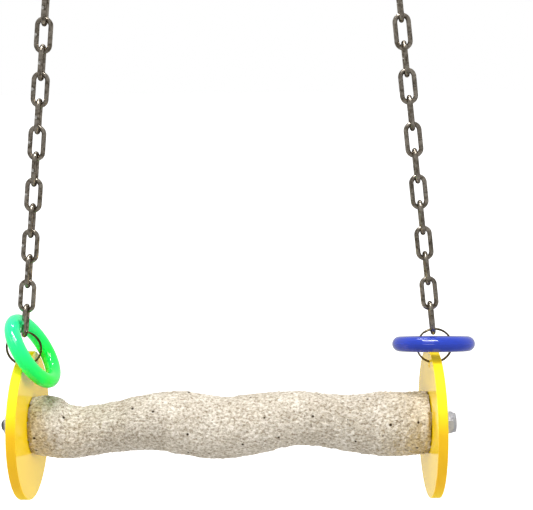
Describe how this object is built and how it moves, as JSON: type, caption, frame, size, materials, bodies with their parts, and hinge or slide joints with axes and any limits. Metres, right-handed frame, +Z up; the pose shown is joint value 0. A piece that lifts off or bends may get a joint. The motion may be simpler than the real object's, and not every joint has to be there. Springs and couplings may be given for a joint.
{
  "type": "bird swing",
  "caption": "Hanging bird swing: a rough wavy mineral perch between round end discs, held by leaning chains with split rings, loose toy rings and quick links.",
  "frame": {"origin": "middle of the line on which the two quick links hang, where their inner tops meet the cage bars", "axes": "+X along the perch towards the blue ring's end, +Y away from the viewer of the picture, +Z up"},
  "size_m": [0.3021, 0.094, 0.348],
  "materials": {
    "yellow_acrylic": "polished yellow acrylic sheet, 6 mm",
    "mineral": "rough, pitted sand and cement",
    "core_plastic": "plain plastic tube",
    "rod_steel": "dark steel rod, threaded at its ends",
    "zinc_hardware": "bright zinc-plated steel",
    "ring_steel": "spring steel wire with a brownish cast",
    "green_plastic": "glossy mint-green plastic",
    "blue_plastic": "glossy royal-blue plastic",
    "quick_link_steel": "zinc-plated steel",
    "chain_steel": "dull grey-brown steel wire"
  },
  "bodies": {
    "hangers": {"left_quick_link": "quick_link_steel", "right_quick_link": "quick_link_steel"},
    "left_sleeve": {"left_sleeve_nut": "quick_link_steel"},
    "right_sleeve": {"right_sleeve_nut": "quick_link_steel"},
    "left_link_13": {"left_link_13": "chain_steel"},
    "left_link_12": {"left_link_12": "chain_steel"},
    "left_link_11": {"left_link_11": "chain_steel"},
    "left_link_10": {"left_link_10": "chain_steel"},
    "left_link_09": {"left_link_09": "chain_steel"},
    "left_link_08": {"left_link_08": "chain_steel"},
    "left_link_07": {"left_link_07": "chain_steel"},
    "left_link_06": {"left_link_06": "chain_steel"},
    "left_link_05": {"left_link_05": "chain_steel"},
    "left_link_04": {"left_link_04": "chain_steel"},
    "left_link_03": {"left_link_03": "chain_steel"},
    "left_link_02": {"left_link_02": "chain_steel"},
    "left_link_01": {"left_link_01": "chain_steel"},
    "left_ring_body": {"left_split_ring": "ring_steel"},
    "right_link_13": {"right_link_13": "chain_steel"},
    "right_link_12": {"right_link_12": "chain_steel"},
    "right_link_11": {"right_link_11": "chain_steel"},
    "right_link_10": {"right_link_10": "chain_steel"},
    "right_link_09": {"right_link_09": "chain_steel"},
    "right_link_08": {"right_link_08": "chain_steel"},
    "right_link_07": {"right_link_07": "chain_steel"},
    "right_link_06": {"right_link_06": "chain_steel"},
    "right_link_05": {"right_link_05": "chain_steel"},
    "right_link_04": {"right_link_04": "chain_steel"},
    "right_link_03": {"right_link_03": "chain_steel"},
    "right_link_02": {"right_link_02": "chain_steel"},
    "right_link_01": {"right_link_01": "chain_steel"},
    "right_ring_body": {"right_split_ring": "ring_steel"},
    "perch_bar": {"perch": "mineral", "core_tube": "core_plastic", "through_rod": "rod_steel", "left_disc": "yellow_acrylic", "right_disc": "yellow_acrylic", "left_washer": "zinc_hardware", "right_washer": "zinc_hardware", "left_lock_washer": "zinc_hardware", "right_lock_washer": "zinc_hardware", "left_nut": "zinc_hardware", "right_nut": "zinc_hardware"},
    "green_toy": {"green_ring": "green_plastic"},
    "blue_toy": {"blue_ring": "blue_plastic"}
  },
  "joints": [
    {"name": "left_sleeve_slide", "type": "slide", "parent": "hangers", "child": "left_sleeve", "axis": [0.1193, 0, 0.9929], "range_m": [0, 0.008]},
    {"name": "right_sleeve_slide", "type": "slide", "parent": "hangers", "child": "right_sleeve", "axis": [-0.1193, 0, 0.9929], "range_m": [0, 0.008]},
    {"name": "left_link_13_swing", "type": "hinge", "parent": "hangers", "child": "left_link_13", "pos_m": [-0.1032, 0, -0.03152], "axis": [1, 0, 0], "range_deg": [-45, 45]},
    {"name": "left_link_12_swing", "type": "hinge", "parent": "left_link_13", "child": "left_link_12", "pos_m": [-0.1047, 0, -0.04408], "axis": [-1, 0, 0], "range_deg": [-45, 45]},
    {"name": "left_link_11_swing", "type": "hinge", "parent": "left_link_12", "child": "left_link_11", "pos_m": [-0.10697, 0, -0.06295], "axis": [1, 0, 0], "range_deg": [-45, 45]},
    {"name": "left_link_10_swing", "type": "hinge", "parent": "left_link_11", "child": "left_link_10", "pos_m": [-0.10852, 0, -0.07585], "axis": [-1, 0, 0], "range_deg": [-45, 45]},
    {"name": "left_link_09_swing", "type": "hinge", "parent": "left_link_10", "child": "left_link_09", "pos_m": [-0.11079, 0, -0.09472], "axis": [1, 0, 0], "range_deg": [-45, 45]},
    {"name": "left_link_08_swing", "type": "hinge", "parent": "left_link_09", "child": "left_link_08", "pos_m": [-0.11234, 0, -0.10763], "axis": [-1, 0, 0], "range_deg": [-45, 45]},
    {"name": "left_link_07_swing", "type": "hinge", "parent": "left_link_08", "child": "left_link_07", "pos_m": [-0.1146, 0, -0.12649], "axis": [1, 0, 0], "range_deg": [-45, 45]},
    {"name": "left_link_06_swing", "type": "hinge", "parent": "left_link_07", "child": "left_link_06", "pos_m": [-0.11615, 0, -0.1394], "axis": [-1, 0, 0], "range_deg": [-45, 45]},
    {"name": "left_link_05_swing", "type": "hinge", "parent": "left_link_06", "child": "left_link_05", "pos_m": [-0.11842, 0, -0.15826], "axis": [1, 0, 0], "range_deg": [-45, 45]},
    {"name": "left_link_04_swing", "type": "hinge", "parent": "left_link_05", "child": "left_link_04", "pos_m": [-0.11997, 0, -0.17117], "axis": [-1, 0, 0], "range_deg": [-45, 45]},
    {"name": "left_link_03_swing", "type": "hinge", "parent": "left_link_04", "child": "left_link_03", "pos_m": [-0.12224, 0, -0.19003], "axis": [1, 0, 0], "range_deg": [-45, 45]},
    {"name": "left_link_02_swing", "type": "hinge", "parent": "left_link_03", "child": "left_link_02", "pos_m": [-0.12379, 0, -0.20294], "axis": [-1, 0, 0], "range_deg": [-45, 45]},
    {"name": "left_link_01_swing", "type": "hinge", "parent": "left_link_02", "child": "left_link_01", "pos_m": [-0.12605, 0, -0.22181], "axis": [1, 0, 0], "range_deg": [-45, 45]},
    {"name": "left_split_ring_swing", "type": "hinge", "parent": "left_link_01", "child": "left_ring_body", "pos_m": [-0.12771, 0, -0.23556], "axis": [-1, 0, 0], "range_deg": [-10, 10]},
    {"name": "right_link_13_swing", "type": "hinge", "parent": "hangers", "child": "right_link_13", "pos_m": [0.1032, 0, -0.03152], "axis": [1, 0, 0], "range_deg": [-45, 45]},
    {"name": "right_link_12_swing", "type": "hinge", "parent": "right_link_13", "child": "right_link_12", "pos_m": [0.1047, 0, -0.04408], "axis": [-1, 0, 0], "range_deg": [-45, 45]},
    {"name": "right_link_11_swing", "type": "hinge", "parent": "right_link_12", "child": "right_link_11", "pos_m": [0.10697, 0, -0.06295], "axis": [1, 0, 0], "range_deg": [-45, 45]},
    {"name": "right_link_10_swing", "type": "hinge", "parent": "right_link_11", "child": "right_link_10", "pos_m": [0.10852, 0, -0.07585], "axis": [-1, 0, 0], "range_deg": [-45, 45]},
    {"name": "right_link_09_swing", "type": "hinge", "parent": "right_link_10", "child": "right_link_09", "pos_m": [0.11079, 0, -0.09472], "axis": [1, 0, 0], "range_deg": [-45, 45]},
    {"name": "right_link_08_swing", "type": "hinge", "parent": "right_link_09", "child": "right_link_08", "pos_m": [0.11234, 0, -0.10763], "axis": [-1, 0, 0], "range_deg": [-45, 45]},
    {"name": "right_link_07_swing", "type": "hinge", "parent": "right_link_08", "child": "right_link_07", "pos_m": [0.1146, 0, -0.12649], "axis": [1, 0, 0], "range_deg": [-45, 45]},
    {"name": "right_link_06_swing", "type": "hinge", "parent": "right_link_07", "child": "right_link_06", "pos_m": [0.11615, 0, -0.1394], "axis": [-1, 0, 0], "range_deg": [-45, 45]},
    {"name": "right_link_05_swing", "type": "hinge", "parent": "right_link_06", "child": "right_link_05", "pos_m": [0.11842, 0, -0.15826], "axis": [1, 0, 0], "range_deg": [-45, 45]},
    {"name": "right_link_04_swing", "type": "hinge", "parent": "right_link_05", "child": "right_link_04", "pos_m": [0.11997, 0, -0.17117], "axis": [-1, 0, 0], "range_deg": [-45, 45]},
    {"name": "right_link_03_swing", "type": "hinge", "parent": "right_link_04", "child": "right_link_03", "pos_m": [0.12224, 0, -0.19003], "axis": [1, 0, 0], "range_deg": [-45, 45]},
    {"name": "right_link_02_swing", "type": "hinge", "parent": "right_link_03", "child": "right_link_02", "pos_m": [0.12379, 0, -0.20294], "axis": [-1, 0, 0], "range_deg": [-45, 45]},
    {"name": "right_link_01_swing", "type": "hinge", "parent": "right_link_02", "child": "right_link_01", "pos_m": [0.12605, 0, -0.22181], "axis": [1, 0, 0], "range_deg": [-45, 45]},
    {"name": "right_split_ring_swing", "type": "hinge", "parent": "right_link_01", "child": "right_ring_body", "pos_m": [0.12771, 0, -0.23556], "axis": [-1, 0, 0], "range_deg": [-10, 10]},
    {"name": "perch_rock", "type": "hinge", "parent": "left_ring_body", "child": "perch_bar", "pos_m": [-0.129, 0, -0.25718], "axis": [1, 0, 0], "range_deg": [-4, 4]},
    {"name": "green_ring_lift", "type": "hinge", "parent": "left_ring_body", "child": "green_toy", "pos_m": [-0.13429, 0, -0.22996], "axis": [0, -1, 0], "range_deg": [0, 45]},
    {"name": "blue_ring_lift", "type": "slide", "parent": "perch_bar", "child": "blue_toy", "axis": [-0.1, -0.5, 0.8602], "range_m": [0, 0.014]}
  ],
  "couplings": [
    {"joint": "right_link_13_swing", "follows": "left_link_13_swing", "ratio": 1},
    {"joint": "right_link_12_swing", "follows": "left_link_12_swing", "ratio": 1},
    {"joint": "right_link_11_swing", "follows": "left_link_11_swing", "ratio": 1},
    {"joint": "right_link_10_swing", "follows": "left_link_10_swing", "ratio": 1},
    {"joint": "right_link_09_swing", "follows": "left_link_09_swing", "ratio": 1},
    {"joint": "right_link_08_swing", "follows": "left_link_08_swing", "ratio": 1},
    {"joint": "right_link_07_swing", "follows": "left_link_07_swing", "ratio": 1},
    {"joint": "right_link_06_swing", "follows": "left_link_06_swing", "ratio": 1},
    {"joint": "right_link_05_swing", "follows": "left_link_05_swing", "ratio": 1},
    {"joint": "right_link_04_swing", "follows": "left_link_04_swing", "ratio": 1},
    {"joint": "right_link_03_swing", "follows": "left_link_03_swing", "ratio": 1},
    {"joint": "right_link_02_swing", "follows": "left_link_02_swing", "ratio": 1},
    {"joint": "right_link_01_swing", "follows": "left_link_01_swing", "ratio": 1},
    {"joint": "right_split_ring_swing", "follows": "left_split_ring_swing", "ratio": 1}
  ]
}
